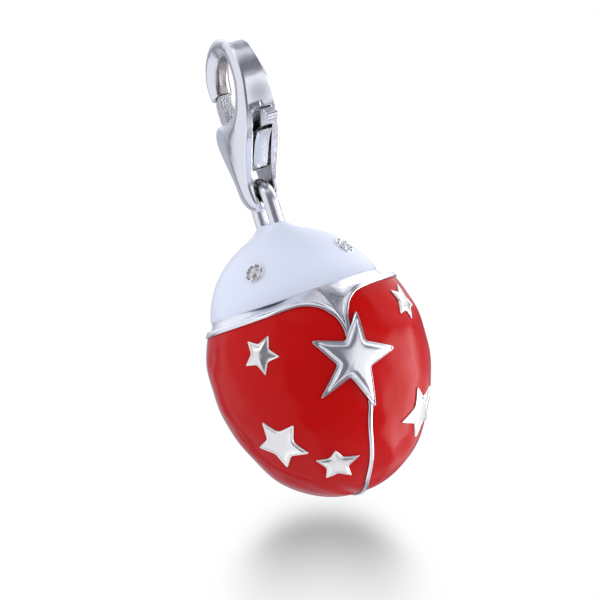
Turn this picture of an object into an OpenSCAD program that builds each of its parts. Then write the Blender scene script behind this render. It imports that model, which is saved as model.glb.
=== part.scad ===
// Egg charm: an enamelled silver egg styled as a ladybird, hanging by its bail on a lobster clasp.
// The origin is the seat inside the top of the clasp's hook, +Z is up, and the large star faces -Y.

/* [Egg] */
// Height of the inside of the hook above the lowest point of the egg
drop_h = 29.42; // [29:0.01:30]
// Distance of the egg's hanging line behind the hook seat
drop_y = 1.5; // [1.4:0.05:1.6]
// Largest radius of the wing body
wing_r = 7.16; // [6.9:0.01:7.4]
// Height of the wing body's widest place above its lowest point
wing_low_h = 9.1; // [8.9:0.05:9.3]
// Distance of the wing body's axis in front of the hanging line
wing_forward = 1.2; // [1:0.05:1.4]
// Radius of the head dome
head_r = 5.65; // [5.5:0.01:5.8]
// Height of the head dome's centre above the wing body's widest place
head_up = 2.97; // [2.8:0.01:3.1]
// Thickness of the enamel
enamel_t = 0.45; // [0.35:0.01:0.55]
// Thickness of the silver wall under the enamel
wall_t = 0.65; // [0.6:0.01:0.9]
// Distance of the hollow's axis in front of the wing body's axis
hollow_forward = 0.3; // [0:0.01:0.4]
// Depth of the hollow's flat back, which is thick enough to make the egg hang straight
hollow_back = 2.82; // [2.5:0.01:3.2]

/* [Collar and seam] */
// Height of the white enamel's lower edge above the widest place
white_up = 4.27; // [4.1:0.01:4.4]
// Height of the outer edge of the silver collar above the widest place
collar_up = 3.87; // [3.8:0.01:4]
// Height of the red enamel's upper edge above the widest place
red_up = 3.52; // [3.4:0.01:3.6]
// Radius of the red enamel's corner where a wing meets the front seam
lobe_r = 2.35; // [2:0.05:2.6]
// Width of the silver seam between the wings
seam_w = 0.34; // [0.3:0.01:0.4]
// Height of the silver stars and seam above the enamel
proud = 0.05; // [0.02:0.01:0.08]

/* [Stars] */
// Radius of the large star to its points
big_star_r = 3.1; // [2.9:0.05:3.2]
// Height of the large star's dome above the enamel
big_star_h = 1.0; // [0.8:0.05:1.1]
// Radius of the large star's domed face
big_star_dome_r = 4.2; // [4:0.1:5]
// Ratio of a star's inner radius to its outer radius
star_waist = 0.47; // [0.42:0.01:0.5]

/* [Eyes and bail] */
// Radius of the stones
stone_r = 0.55; // [0.5:0.01:0.6]
// Radius of the stone seats
seat_r = 0.74; // [0.7:0.01:0.8]
// Angle of each eye from the front
eye_turn = 45.7; // [40:0.1:50]
// Angle of each eye above the head dome's equator
eye_lift = 37.3; // [34:0.1:40]
// Radius of the bail's wire
bail_wire_r = 0.41; // [0.38:0.01:0.43]
// Radius of the bail's arch at the middle of the wire
bail_r = 1.3; // [1.2:0.01:1.35]

/* [Clasp] */
// Width of the slot through the clasp
slot_w = 1.24; // [1.1:0.01:1.3]
// Radius of the clasp's bottom bar
bar_r = 0.53; // [0.45:0.01:0.55]
// Distance from the hook seat down to the middle of the bottom bar
bar_down = 9.64; // [9.6:0.01:9.7]
// Thickness of the lever
lever_t = 0.8; // [0.7:0.01:0.9]
// Radius of the lever's pin
pin_r = 0.3; // [0.25:0.01:0.35]
// Width of the leaf spring
spring_w = 1.04; // [0.9:0.01:1.1]
// Thickness of the leaf spring
spring_t = 0.16; // [0.12:0.01:0.18]

/* [Hidden] */
$fn = 96;

gap = 0.02;             // between an enamel or a stone and its seat
far = 20;               // longer than any piece
wide_z = -drop_h + wing_low_h;
wing_y = drop_y - wing_forward;
head_z = wide_z + head_up;

// The wing body's side is two arcs that meet at the widest place, closed by a round bottom.
side_low_r = 11.06;
side_up_r = 8.18;
bottom_r = 6.2;
bottom_down = wing_low_h - bottom_r;
side_low_x = wing_r - side_low_r;
side_up_x = wing_r - side_up_r;
tangent_sin = bottom_down / norm([side_low_x, bottom_down]);
shoulder_in = 3.2;      // how far the collar's shoulder slopes inwards
shoulder_up = 0.55;     // and how far it rises on the way

// Small stars: turn from the front, height, turn of a point from upright, radius
small_stars = [
    [-50.3, -19.05, 36.8, 1.40],
    [-59.8, -25.05, -13.1, 1.91],
    [-29.9, -27.36, 15.2, 1.42],
    [46.5, -18.48, 31.6, 1.33],
    [47.5, -25.53, -40.1, 1.91],
];
big_star_turn = -4;
big_star_z = -21.15;
big_star_roll = 20.8;

// Outline of the clasp from the side, as depth and height, from the hook's tip over the top,
// down the spine, round the bottom and up the gate side into the eye
clasp_outline = [
    [3.42, -2.75], [3.55, -1.61], [3.19, -0.77], [2.47, 0], [1.45, 0.66], [0, 1.03],
    [-1.55, 0.68], [-2.6, -0.1], [-3.1, -0.75], [-3.32, -1.6], [-3.3, -2.58],
    [-2.8, -3.87], [-2.05, -5.16], [-0.91, -6.45], [0.15, -7.74], [0.7, -8.6],
    [0.72, -9.4], [0.95, -9.95], [1.55, -10.26], [2.15, -9.98], [2.6, -9.45],
    [2.68, -8.9], [2.52, -8.4], [2.74, -7.6], [2.95, -6.6], [3.25, -5.7], [3.33, -5.1],
    [3.15, -4.6], [2.75, -4.25], [1.98, -4.19], [0.85, -4.06], [-0.11, -3.61],
    [-0.8, -2.95], [-1.13, -1.95], [-1.1, -1], [-0.85, -0.38], [0, 0], [1.2, -0.36],
    [1.9, -0.8], [2.42, -1.45], [2.66, -2.1], [2.72, -2.75],
];
// Half width of the clasp from the front, as height and half width
clasp_widths = [
    [1.1, 0.56], [-0.75, 0.62], [-1.3, 0.68], [-1.95, 0.82], [-2.6, 0.97], [-3.3, 1.09],
    [-4.5, 1.17], [-5.5, 1.25], [-6.4, 1.26], [-7.1, 1.22], [-7.75, 1.13], [-8.5, 1.02],
    [-9.3, 0.98], [-9.8, 0.85], [-10.1, 0.6], [-10.3, 0.3],
];
limb_w = 1.24;          // width of the hook's limb down to its tip
pin_y = 2;
pin_z = -5;
pin_l = 1.9;
nose_reach = 2.76;      // from the pin to the top of the gate nose
tip_reach = 2.84;       // from the pin to the end of the hook's tip
slot_top = -3.81;
slot_sill = -4.9;       // where the slot's rear wall starts
slot_rear_end = -7.55;  // and where it ends, above the bail's hole
tab_end = -4.35;
tab_ridge_r = 0.26;
tab_ridge_z = -4.43;

// Points of a smooth closed curve through the points of a list, four to each span
function between(p, a, b, c, d, t) =
    (2 * p[b] + (p[c] - p[a]) * t + (2 * p[a] - 5 * p[b] + 4 * p[c] - p[d]) * t * t
     + (3 * p[b] - p[a] - 3 * p[c] + p[d]) * t * t * t) / 2;
function smooth(p, steps = 4) = let (n = len(p))
    [for (i = [0:n - 1], k = [0:steps - 1])
        between(p, (i + n - 1) % n, i, (i + 1) % n, (i + 2) % n, k / steps)];

// Puts a drawing of depth and height upright, with its thickness along X
module from_side(thickness) {
    rotate([90, 0, 90]) linear_extrude(thickness, center = true) children();
}

// The wing body round its own axis, grown outwards by an amount and closed at a height by
// a shoulder that slopes inwards. Its three parts overlap and are tangent where they meet.
module wing_revolve(grow, top) {
    tangent_z = -bottom_down - (bottom_r + grow) * tangent_sin;
    slope = shoulder_up / shoulder_in;
    top_r = side_up_x + sqrt(pow(side_up_r + grow, 2) - pow(top, 2));
    translate([0, 0, -bottom_down]) sphere(bottom_r + grow);
    rotate_extrude() intersection() {
        translate([side_low_x, 0]) circle(side_low_r + grow);
        translate([0, tangent_z]) square([far, -tangent_z]);
    }
    rotate_extrude() intersection() {
        translate([side_up_x, 0]) circle(side_up_r + grow);
        polygon([[0, -2], [far, -2], [far, top - slope * (far - top_r)],
                 [top_r - shoulder_in, top + shoulder_up], [0, top + shoulder_up]]);
    }
}

module wing_solid(grow) {
    translate([0, wing_y, wide_z]) wing_revolve(grow, collar_up + grow / 4);
}

module head_solid(grow) {
    translate([0, drop_y, head_z]) sphere(head_r + grow);
}

module egg_solid(grow) {
    wing_solid(grow);
    head_solid(grow);
}

// The egg's hollow, a smaller wing body and a smaller head dome in one, with a flat back
module hollow() {
    inside = -enamel_t - wall_t;
    intersection() {
        union() {
            translate([0, wing_y - hollow_forward, wide_z]) wing_revolve(inside, red_up - wall_t);
            head_solid(inside);
        }
        translate([-far, hollow_back - 2 * far, -2 * far]) cube(2 * far);
    }
}

// Where a wing's enamel lies seen from the front, on one side of the seam
module wing_field(side, margin) {
    edge = seam_w / 2 + margin;
    top = wide_z + red_up - margin;
    mirror([side < 0 ? 1 : 0, 0, 0]) {
        translate([0, wing_y + 0.01, 0]) rotate([90, 0, 0]) linear_extrude(far) difference() {
            translate([edge, top - far]) square(far);
            difference() {
                translate([edge, top - lobe_r]) square(lobe_r);
                translate([edge + lobe_r, top - lobe_r]) circle(lobe_r);
            }
        }
        translate([edge, wing_y, top - far]) cube(far);
    }
}

module star_outline(radius, margin) {
    polygon([for (i = [0:9]) let (r = (i % 2 == 0 ? radius : radius * star_waist) + margin)
        [r * sin(36 * i), r * cos(36 * i)]]);
}

// Stands a star's outline out of the wing body, square to its surface
module star_post(star, margin, height) {
    level = star[1] - wide_z;
    low = level < 0;
    side_x = low ? side_low_x : side_up_x;
    side_r = low ? side_low_r : side_up_r;
    round_end = level < -bottom_down - bottom_r * tangent_sin;
    tilt = round_end ? asin((level + bottom_down) / bottom_r) : asin(level / side_r);
    reach = round_end ? bottom_r * cos(tilt) : side_x + side_r * cos(tilt);
    translate([0, wing_y, wide_z]) rotate([0, 0, star[0]]) translate([0, -reach, level])
        rotate([90 - tilt, 0, 0]) translate([0, 0, -height]) rotate([0, 0, -star[2]])
            linear_extrude(2 * height) star_outline(star[3], margin);
}

module small_star_posts(margin) {
    for (star = small_stars) star_post(star, margin, 1);
}

// The large star is a flat star whose face is cut to a dome
module big_star() {
    star = [big_star_turn, big_star_z, big_star_roll, big_star_r];
    intersection() {
        star_post(star, 0, 2);
        translate([0, wing_y, 0]) rotate([0, 0, big_star_turn])
            translate([0, -wing_r - big_star_h + big_star_dome_r, big_star_z])
                sphere(big_star_dome_r);
    }
}

// Puts a piece drawn along +Z at an eye, with its base at the head dome's centre
module at_eye(side) {
    translate([0, drop_y, head_z]) rotate([0, 0, side * eye_turn]) rotate([90 - eye_lift, 0, 0])
        children();
}

seat_h = 0.16;          // of a stone's seat above the enamel
girdle_up = 0.1;        // of a stone's widest place above the enamel
crown_h = 0.2;
pavilion_h = 0.4;

module eye_seat(side) {
    at_eye(side) difference() {
        translate([0, 0, head_r - 1]) cylinder(h = 1 + seat_h, r = seat_r);
        translate([0, 0, head_r + girdle_up - pavilion_h - 2 * gap])
            cylinder(h = pavilion_h + 2 * gap, r1 = 0.12, r2 = stone_r + gap);
        translate([0, 0, head_r + girdle_up - 0.001]) cylinder(h = 1, r = stone_r + gap);
    }
}

module eye_stone(side) {
    color("aliceblue") at_eye(side) translate([0, 0, head_r + girdle_up]) rotate_extrude()
        polygon([[0, -pavilion_h], [stone_r, 0], [stone_r * 0.6, crown_h], [0, crown_h]]);
}

bail_z = -bar_down + bar_r + gap + bail_wire_r - bail_r;

module bail() {
    translate([0, drop_y, bail_z]) rotate([90, 0, 90]) rotate_extrude(angle = 180)
        translate([bail_r, 0]) circle(bail_wire_r);
    for (side = [-1, 1])
        translate([0, drop_y + side * bail_r, head_z + head_r - 1.5])
            cylinder(h = bail_z - head_z - head_r + 1.5, r = bail_wire_r);
}

neck_top = -11.12;      // where the enamel ends on the bail's legs
neck_r = 0.52;
neck_foot_r = 1.05;

module necks() {
    for (side = [-1, 1])
        translate([0, drop_y + side * bail_r, head_z + head_r - 0.6])
            cylinder(h = neck_top - head_z - head_r + 0.6, r1 = neck_foot_r, r2 = neck_r);
}

// The seam's raised middle, which fades into the collar at the front
module seam_ridge() {
    width = 0.8 * seam_w;
    translate([-width / 2, -far, wide_z + red_up - lobe_r / 2 - 2 * far]) cube([width, 2 * far, 2 * far]);
}

// Above the white enamel's lower edge
module above_collar(margin) {
    translate([-far, -far, wide_z + white_up + margin]) cube(2 * far);
}

module egg_casting() {
    color("silver") {
        difference() {
            union() {
                egg_solid(-enamel_t);
                difference() {
                    egg_solid(0);
                    wing_field(-1, 0);
                    wing_field(1, 0);
                    above_collar(0);
                }
                intersection() {
                    wing_solid(proud);
                    union() {
                        small_star_posts(0);
                        seam_ridge();
                    }
                }
            }
            hollow();
        }
        difference() {
            big_star();
            wing_solid(-enamel_t - wall_t / 2);
        }
        bail();
        for (side = [-1, 1]) eye_seat(side);
    }
}

module enamel_head() {
    color("ghostwhite") difference() {
        union() {
            head_solid(0);
            necks();
        }
        egg_solid(gap - enamel_t);
        translate([-far, -far, wide_z + white_up + gap - 2 * far]) cube(2 * far);
        for (side = [-1, 1]) {
            translate([0, drop_y + side * bail_r, head_z])
                cylinder(h = far, r = bail_wire_r + gap);
            at_eye(side) cylinder(h = far, r = seat_r + gap);
        }
    }
}

module enamel_wing(side) {
    color("firebrick") difference() {
        intersection() {
            wing_solid(0);
            wing_field(side, gap);
        }
        egg_solid(gap - enamel_t);
        small_star_posts(gap);
        star_post([big_star_turn, big_star_z, big_star_roll, big_star_r], gap, 2);
    }
}

module clasp_front_outline() {
    polygon(concat([for (row = clasp_widths) [row[1], row[0]]],
                   [for (i = [len(clasp_widths) - 1:-1:0]) [-clasp_widths[i][1], clasp_widths[i][0]]]));
}

// The slot from the side: open at the spine, with a rear wall between its sill and the bail's hole
module slot_outline() {
    polygon([[-far, slot_top], [far, slot_top], [far, slot_sill], [2.75, slot_sill],
             [2.85, -5.3], [2.6, -6], [2.4, -6.8], [2.25, slot_rear_end],
             [far, slot_rear_end], [far, -far], [-far, -far]]);
}

module clasp_body() {
    color("gainsboro") {
        difference() {
            intersection() {
                from_side(2 * far) polygon(smooth(clasp_outline));
                rotate([90, 0, 0]) linear_extrude(2 * far, center = true) clasp_front_outline();
            }
            from_side(slot_w) slot_outline();
            for (side = [-1, 1])
                translate([side * (limb_w + far) / 2 - far / 2, 0.6, -3.3]) cube([far, far, 4]);
            translate([0, pin_y, pin_z]) rotate([0, 90, 0])
                cylinder(h = pin_l + 2 * gap, r = pin_r + gap / 2, center = true);
            intersection() {
                translate([0, pin_y, pin_z]) rotate([0, 90, 0])
                    cylinder(h = far, r = tip_reach, center = true);
                translate([-far, 2.2, -4]) cube([2 * far, far, far]);
            }
        }
        translate([0, drop_y, -bar_down]) rotate([0, 90, 0])
            cylinder(h = slot_w + 0.3, r = bar_r, center = true);
    }
}

// The lever from the side, from the gate nose to the thumb tab
lever_outline = [
    [2.68, -2], [3.78, -2], [3.78, -4.12], [3.66, -4.22], [3.1, -4.3], [2.55, -4.75],
    [2, -5.5], [0.6, -5.5], [-1.6, -5.2], [-2.6, -5.02], [-4.2, -4.98], [tab_end, -4.82],
    [tab_end, -4.08], [-4.2, -3.94], [-2.6, -3.92], [-1.5, -4.1], [0.6, -4.5], [2.1, -4.4],
    [2.68, -4.1],
];

module across_lever(y, z, radius, length) {
    translate([0, y, z]) rotate([0, 90, 0]) cylinder(h = length, r = radius, center = true);
}

module clasp_lever() {
    color("silver") difference() {
        union() {
            difference() {
                from_side(lever_t) polygon(lever_outline);
                difference() {
                    translate([-far / 2, 2.3, -4]) cube(far);
                    across_lever(pin_y, pin_z, nose_reach, 2 * far);
                }
            }
            across_lever(pin_y, pin_z, 0.62, lever_t);
            across_lever(tab_end, tab_ridge_z, tab_ridge_r, lever_t);
        }
        across_lever(pin_y, pin_z, pin_r + 0.03, far);
    }
}

module clasp_pin() {
    color("gray") translate([0, pin_y, pin_z]) rotate([0, 90, 0])
        cylinder(h = pin_l, r = pin_r, center = true);
}

spring_bend_r = 0.3;    // of the bend at the spring's foot, at its outside
spring_foot = [0.42, -7.15];
spring_top = [-2.05, -5.3];
spring_rear_top = [2.1, -6.1];

// A strip of even thickness along a line of points
module strip(points, thickness) {
    n = len(points) - 1;
    function across(i) = let (d = points[min(i + 1, n)] - points[max(i - 1, 0)])
        [-d[1], d[0]] * thickness / 2 / norm(d);
    polygon(concat([for (i = [0:n]) points[i] + across(i)],
                   [for (i = [n:-1:0]) points[i] - across(i)]));
}

module clasp_spring() {
    bow = 0.16;
    front = [for (k = [0:6]) let (t = k / 6, d = spring_foot - spring_top)
        spring_top + d * t + [-d[1], d[0]] / norm(d) * bow * sin(180 * t)];
    bend = [for (a = [200:20:340])
        spring_foot + (spring_bend_r - spring_t / 2) * [1 + cos(a), sin(a)]];
    color("lightgray") from_side(spring_w)
        strip(concat(front, bend, [spring_rear_top]), spring_t);
}

egg_casting();
enamel_head();
enamel_wing(-1);  // enamel_wing_left
enamel_wing(1);  // enamel_wing_right
eye_stone(-1);  // eye_stone_left
eye_stone(1);  // eye_stone_right
clasp_body();
clasp_lever();
clasp_pin();
clasp_spring();
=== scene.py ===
"""An enamelled silver egg charm that hangs by its bail on a sprung lobster clasp.

Lengths are millimetres in the charm's own frame: the origin is the seat inside the hook, +Z is up and
-Y is the front, where the large star is. Each mesh is worked out as an array and written in metres.
"""
import math

import bmesh
import bpy
import numpy as np
from mathutils import Matrix


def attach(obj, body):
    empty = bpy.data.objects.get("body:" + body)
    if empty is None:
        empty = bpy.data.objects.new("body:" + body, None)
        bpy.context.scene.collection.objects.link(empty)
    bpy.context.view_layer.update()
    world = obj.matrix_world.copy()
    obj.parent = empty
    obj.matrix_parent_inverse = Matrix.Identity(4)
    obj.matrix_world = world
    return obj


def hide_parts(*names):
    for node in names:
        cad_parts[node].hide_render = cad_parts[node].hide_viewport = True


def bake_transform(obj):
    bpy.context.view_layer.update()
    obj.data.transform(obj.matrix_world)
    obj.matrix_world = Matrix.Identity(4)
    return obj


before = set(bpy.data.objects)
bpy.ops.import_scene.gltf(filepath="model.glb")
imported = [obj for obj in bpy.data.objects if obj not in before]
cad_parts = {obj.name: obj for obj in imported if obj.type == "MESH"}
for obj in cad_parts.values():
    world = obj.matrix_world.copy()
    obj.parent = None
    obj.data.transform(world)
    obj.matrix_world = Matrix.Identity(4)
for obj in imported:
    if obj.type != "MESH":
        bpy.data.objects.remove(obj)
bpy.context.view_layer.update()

# The studio. The camera is level with the charm, to the left of its front, and leans over so that the
# charm's top points to the upper left. The room is grey with large soft lights. The brightest is low on
# the right, and the grey between the lights gives the silver its dark reflections.
MM = 0.001
camera_turn = math.radians(-21)
camera_lean = math.radians(16.8)
camera_away = 1600
sensor_wide = 36
picture_wide = 38.71
charm_middle = np.array([0, 1.5, -16.487])

upright = np.array([0, 0, 1])
sight = np.array([-math.sin(camera_turn), math.cos(camera_turn), 0])
level_right = np.array([math.cos(camera_turn), math.sin(camera_turn), 0])
picture_right = math.cos(camera_lean) * level_right - math.sin(camera_lean) * upright
picture_up = math.sin(camera_lean) * level_right + math.cos(camera_lean) * upright
picture_centre = charm_middle + 0.37 * picture_right + 0.202 * picture_up


def added(name, data):
    """A new object in the scene."""
    made = bpy.data.objects.new(name, data)
    bpy.context.collection.objects.link(made)
    return made


def set_place(thing, place, right, up, back):
    """Puts a camera or a stage piece at a place in millimetres, its axes along right, up and back."""
    columns = np.array([right, up, back, np.array(place) * MM])
    thing.matrix_world = Matrix(columns.T.tolist()).to_4x4()


camera_data = bpy.data.cameras.new("camera")
camera_data.sensor_width = sensor_wide
camera_data.lens = sensor_wide * camera_away / picture_wide
camera_data.clip_start = 0.01
camera_data.clip_end = 10
camera = added("camera", camera_data)
set_place(camera, picture_centre - camera_away * sight, picture_right, picture_up, -sight)
bpy.context.scene.camera = camera
bpy.context.scene.view_settings.view_transform = "Standard"


def add_node(tree, kind, inputs=(), **settings):
    """Adds a shader node, sets its settings, and links or sets its inputs, given by name or number."""
    node = tree.nodes.new(kind)
    for key, value in settings.items():
        setattr(node, key, value)
    for key, value in dict(inputs).items():
        if isinstance(value, bpy.types.NodeSocket):
            tree.links.new(value, node.inputs[key])
        else:
            node.inputs[key].default_value = value
    return node


def calc(tree, operation, *values):
    """One Math node: the operation on the values."""
    return add_node(tree, "ShaderNodeMath", enumerate(values), operation=operation).outputs[0]


def vector_calc(tree, operation, *values):
    """One Vector Math node: the operation on the vectors. Lengths, distances and dot products are numbers."""
    outputs = add_node(tree, "ShaderNodeVectorMath", enumerate(values), operation=operation).outputs
    return outputs["Value" if operation in ("LENGTH", "DISTANCE", "DOT_PRODUCT") else "Vector"]


def between(tree, value, low, high, to_low=0, to_high=1, soft=False):
    """Maps a value from low and high to to_low and to_high, held at both ends, straight or softly."""
    limits = {"Value": value, "From Min": low, "From Max": high, "To Min": to_low, "To Max": to_high}
    curve = "SMOOTHSTEP" if soft else "LINEAR"
    return add_node(tree, "ShaderNodeMapRange", limits, interpolation_type=curve).outputs[0]


def window(tree, value, centre, half, soft):
    """1 where an angle is within half of the centre and 0 outside, with a soft edge. The last three values
    are degrees."""
    centre, half, soft = math.radians(centre), math.radians(half), math.radians(soft)
    away = calc(tree, "WRAP", calc(tree, "SUBTRACT", value, centre), math.pi, -math.pi)
    return between(tree, calc(tree, "ABSOLUTE", away), half - soft, half + soft, 1, 0, soft=True)


# Each light: turn from the front to the right, height, half width, half height, softness, brightness
room_lights = [
    (114, 30, 50, 23, 7, (1.0, 1.0, 1.03)),
    (79, -25, 26, 25, 8, (3.6, 3.6, 3.6)),
    (122, -28, 22, 20, 8, (0.65, 0.65, 0.67)),
    (-25, 60, 78, 18, 9, (0.50, 0.51, 0.54)),
    (-106, 0, 45, 60, 6, (0.60, 0.61, 0.65)),
    (-170, 45, 20, 26, 10, (0.50, 0.51, 0.55)),
    (176, -5, 20, 40, 7, (0.30, 0.31, 0.35)),
    (0, -90, 180, 26, 8, (0.62, 0.62, 0.66)),
    (0, -56, 180, 9, 5, (0.30, 0.30, 0.33)),
    (30, -14, 18, 25, 7, (0.78, 0.78, 0.80)),
    (0, 90, 180, 22, 8, (0.28, 0.28, 0.31)),
    (165, 55, 45, 22, 10, (0.30, 0.30, 0.33)),
]
room_grey = (0.17, 0.18, 0.215)
world = bpy.data.worlds.new("studio")
bpy.context.scene.world = world
world.use_nodes = True
room = world.node_tree
room.nodes.clear()
toward = add_node(room, "ShaderNodeTexCoord").outputs["Generated"]
to_right, to_back, to_top = add_node(room, "ShaderNodeSeparateXYZ", {0: toward}).outputs
turn = calc(room, "ARCTAN2", to_right, calc(room, "MULTIPLY", to_back, -1.0))
rise = calc(room, "ARCSINE", to_top)
glow = room_grey
for light_turn, height, half_wide, half_high, soft, colour in room_lights:
    mask = window(room, rise, height, half_high, soft)
    if half_wide < 180:
        mask = calc(room, "MULTIPLY", mask, window(room, turn, light_turn, half_wide, soft))
    glow = vector_calc(room, "MULTIPLY_ADD", colour, mask, glow)
# Matt surfaces get an even light that is stronger from both sides than from the front, mostly from the right:
# 0.83 (1 + x (0.2 + 0.8 x - z)), with x to the right and z up
lean = calc(room, "SUBTRACT", calc(room, "MULTIPLY_ADD", to_right, 0.8, 0.2), to_top)
fill = calc(room, "MULTIPLY", calc(room, "MULTIPLY_ADD", to_right, lean, 1.0), 0.83)
ray = add_node(room, "ShaderNodeLightPath").outputs
lit = add_node(room, "ShaderNodeBackground", {"Color": glow})
even_light = add_node(room, "ShaderNodeBackground", {"Color": (1, 1, 1, 1), "Strength": fill})
plain = add_node(room, "ShaderNodeBackground", {"Color": (1, 1, 1, 1)})
seen = lit
for kind, light in (("Is Diffuse Ray", even_light), ("Is Camera Ray", plain)):
    seen = add_node(room, "ShaderNodeMixShader", {0: ray[kind], 1: seen.outputs[0], 2: light.outputs[0]})
add_node(room, "ShaderNodeOutputWorld", {0: seen.outputs[0]})

# The floor is a white sheet below the charm, tipped a little towards the camera, with the charm's soft
# shadow as a darker patch that is sharper at the back than at the front. From below it is clear.
floor_tip = math.radians(15)
floor_centre = picture_centre + 1.68 * picture_right - 15.0 * picture_up
floor_half = 60
floor_up = math.cos(floor_tip) * picture_up - math.sin(floor_tip) * sight
floor_back = math.cos(floor_tip) * sight + math.sin(floor_tip) * picture_up
floor_mesh = bpy.data.meshes.new("floor")
corners = np.array([[-1, -1, 0], [1, -1, 0], [1, 1, 0], [-1, 1, 0]]) * floor_half * MM
floor_mesh.from_pydata(corners.tolist(), [], [(0, 1, 2, 3)])
floor = added("floor", floor_mesh)
set_place(floor, floor_centre, picture_right, floor_back, floor_up)
for kind in ("diffuse", "glossy", "transmission", "volume_scatter", "shadow"):
    setattr(floor, "visible_" + kind, False)
floor_paint = bpy.data.materials.new("white_floor")
floor_paint.use_nodes = True
tree = floor_paint.node_tree
tree.nodes.clear()


def faded(distance, reach, power):
    """A distance as a share of a reach in millimetres, to a power."""
    return calc(tree, "POWER", calc(tree, "DIVIDE", distance, reach * MM), power)


# Darkness of the shadow: 0.535 exp(-(|x| / 4.85)^3.5 - (|b| / reach)^power), where b = y + 0.284 x^2, and the
# reach and power are 6.2 and 2.24 behind its middle line, and 12.9 and 1.4 in front of it
shadow_dark = 0.535
shadow_bow = 0.284 / MM
spot = add_node(tree, "ShaderNodeTexCoord").outputs["Object"]
across, ahead, _ = add_node(tree, "ShaderNodeSeparateXYZ", {0: spot}).outputs
bow = calc(tree, "MULTIPLY_ADD", calc(tree, "MULTIPLY", across, across), shadow_bow, ahead)
aside = faded(calc(tree, "ABSOLUTE", across), 4.85, 3.5)
behind = faded(calc(tree, "MAXIMUM", bow, 0.0), 6.2, 2.24)
before = faded(calc(tree, "MINIMUM", bow, 0.0), -12.9, 1.4)
fade = calc(tree, "ADD", calc(tree, "ADD", aside, behind), before)
dark = calc(tree, "MULTIPLY", calc(tree, "EXPONENT", calc(tree, "MULTIPLY", fade, -1.0)), shadow_dark)
sheet = add_node(tree, "ShaderNodeEmission", {"Color": calc(tree, "SUBTRACT", 1.0, dark)}).outputs[0]
from_below = add_node(tree, "ShaderNodeNewGeometry").outputs["Backfacing"]
sides = {0: from_below, 1: sheet, 2: add_node(tree, "ShaderNodeBsdfTransparent").outputs[0]}
add_node(tree, "ShaderNodeOutputMaterial", {0: add_node(tree, "ShaderNodeMixShader", sides).outputs[0]})
floor_mesh.materials.append(floor_paint)

# The white enamel head. White enamel is fused over the dome of the casting, down to the silver collar.
# It is drawn up the two legs of the bail and ends at the collar in a rounded lip.
# The egg hangs below drop_y, and its widest ring is at wide_z. The dome's middle is at head_z.
drop_y = 1.5
wide_z = -20.32
head_r = 5.65
head_z = wide_z + 2.97
enamel_t = 0.45
leg_out = 1.3
wire_r = 0.41
neck_top = -11.12
lip_r = 0.07


def white_edge(turn):
    """Height of the white enamel's edge at a turn from the front: -16.02 + 0.14 sin(turn + 21).
    It is fused a little higher on one side."""
    return -16.02 + 0.14 * np.sin(np.radians(turn + 21))


def lip_full(turn):
    """How much fuller the enamel's lip is on the right side: 0.27 exp(-((turn - 66) / 26)^2)."""
    return 0.27 * np.exp(-((turn - 66) / 26) ** 2)


def round_axis(axis_y, turn, reach, z):
    """Points about the upright axis at axis_y: reach * (sin turn, -cos turn) from it, at height z."""
    spin = np.radians(turn)
    return np.stack(np.broadcast_arrays(reach * np.sin(spin), axis_y - reach * np.cos(spin), z), axis=-1)


def skin(name, grid, wrap=True, weld=1e-6):
    """A mesh object from a grid of points, rows by columns, in millimetres. Neighbouring points make quads.
    With wrap the last column joins the first, and rows that are one point close as poles."""
    rows, columns = grid.shape[:2]
    index = np.arange(rows * columns).reshape(rows, columns)
    if wrap:
        index = np.concatenate([index, index[:, :1]], axis=1)
    quads = np.stack([index[:-1, :-1], index[1:, :-1], index[1:, 1:], index[:-1, 1:]], axis=-1).reshape(-1, 4)
    mesh = bpy.data.meshes.new(name)
    mesh.from_pydata((grid.reshape(-1, 3) * MM).tolist(), [], quads.tolist())
    work = bmesh.new()
    work.from_mesh(mesh)
    bmesh.ops.remove_doubles(work, verts=work.verts, dist=weld)
    if wrap:
        bmesh.ops.recalc_face_normals(work, faces=work.faces)
    work.to_mesh(mesh)
    work.free()
    mesh.shade_smooth()
    return added(name, mesh)


def settle(piece, body, slot, material, *nodes):
    """Gives a finished piece its material, the body it rides on and the nodes it stands for.
    The slot is not used.
    """
    piece.data.materials.clear()
    piece.data.materials.append(material)
    if body:
        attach(piece, body)
    if nodes:
        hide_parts(*nodes)


def start_finish(name):
    """A new material, its node tree and its Object coordinates."""
    material = bpy.data.materials.new(name)
    material.use_nodes = True
    tree = material.node_tree
    tree.nodes.clear()
    return material, tree, add_node(tree, "ShaderNodeTexCoord").outputs["Object"]


def end_finish(tree, **sockets):
    """A Principled BSDF with the given sockets, and the material's output."""
    inputs = {key.replace("_", " "): value for key, value in sockets.items()}
    shader = add_node(tree, "ShaderNodeBsdfPrincipled", inputs)
    add_node(tree, "ShaderNodeOutputMaterial", {0: shader.outputs[0]})


def new_effect(name, inputs, outputs):
    """An empty shared effect with named inputs, each a vector or a number, and its two end nodes' sockets."""
    group = bpy.data.node_groups.new(name, "ShaderNodeTree")
    for key, kind in inputs.items():
        group.interface.new_socket(key, in_out="INPUT", socket_type=kind)
    for key in outputs:
        group.interface.new_socket(key, in_out="OUTPUT", socket_type="NodeSocketFloat")
    return group, group.nodes.new("NodeGroupInput").outputs, group.nodes.new("NodeGroupOutput").inputs


def noise(tree, place, scale, detail):
    """The value of a noise at a place."""
    inputs = {"Vector": place, "Scale": scale, "Detail": detail}
    return add_node(tree, "ShaderNodeTexNoise", inputs).outputs[0]


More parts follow.
